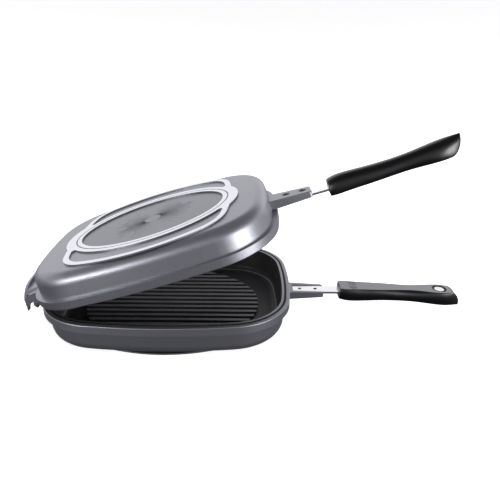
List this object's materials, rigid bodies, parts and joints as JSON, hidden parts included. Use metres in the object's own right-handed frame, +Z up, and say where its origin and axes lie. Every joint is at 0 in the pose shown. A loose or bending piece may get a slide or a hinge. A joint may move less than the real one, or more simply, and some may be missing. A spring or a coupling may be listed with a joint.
{
  "type": "double sided flip pan",
  "caption": "Cast grill pan closed by a matching upper pan on a lift-off hook hinge, with a gasketed rim, ribbed floor and a half handle with a magnet on each pan.",
  "frame": {"origin": "middle of the lower pan's foot, on the plane that the pan stands on", "axes": "+X towards the handles, +Y to the pan's far side, +Z up out of the lower pan's mouth"},
  "size_m": [0.5893, 0.256, 0.2495],
  "materials": {
    "lower_cast": "die-cast, grey metallic paint outside, black non-stick coating inside, bare turned rings underneath",
    "upper_cast": "die-cast, grey metallic paint outside, black non-stick coating inside, bare turned rings on top",
    "silicone": "matte black silicone",
    "pin_steel": "drawn stainless",
    "clip_steel": "stamped stainless",
    "strap_steel": "flat-rolled stainless, brushed",
    "screw_steel": "blackened steel",
    "phenolic": "semi-gloss black moulded phenolic",
    "cup_steel": "pressed steel, dark",
    "magnet_plate": "nickel plated"
  },
  "bodies": {
    "lower": {"lower_pan": "lower_cast", "lower_gasket": "silicone", "lower_strap": "strap_steel", "lower_strap_screws": "screw_steel", "lower_handle": "phenolic", "lower_magnet_cup": "cup_steel", "lower_magnet": "magnet_plate"},
    "hinge_pin": {"hinge_pin": "pin_steel", "pin_clips": "clip_steel"},
    "upper": {"upper_pan": "upper_cast", "upper_strap": "strap_steel", "upper_strap_screws": "screw_steel", "upper_handle": "phenolic", "upper_magnet_cup": "cup_steel", "upper_magnet": "magnet_plate"}
  },
  "joints": [
    {"name": "hinge_turn", "type": "hinge", "parent": "lower", "child": "hinge_pin", "pos_m": [-0.1645, 0, 0.037], "axis": [0, -1, 0], "range_deg": [-17.5, 92.5]},
    {"name": "lift_off", "type": "slide", "parent": "hinge_pin", "child": "upper", "axis": [-0.3007, 0, 0.9537], "range_m": [0, 0.06]}
  ]
}
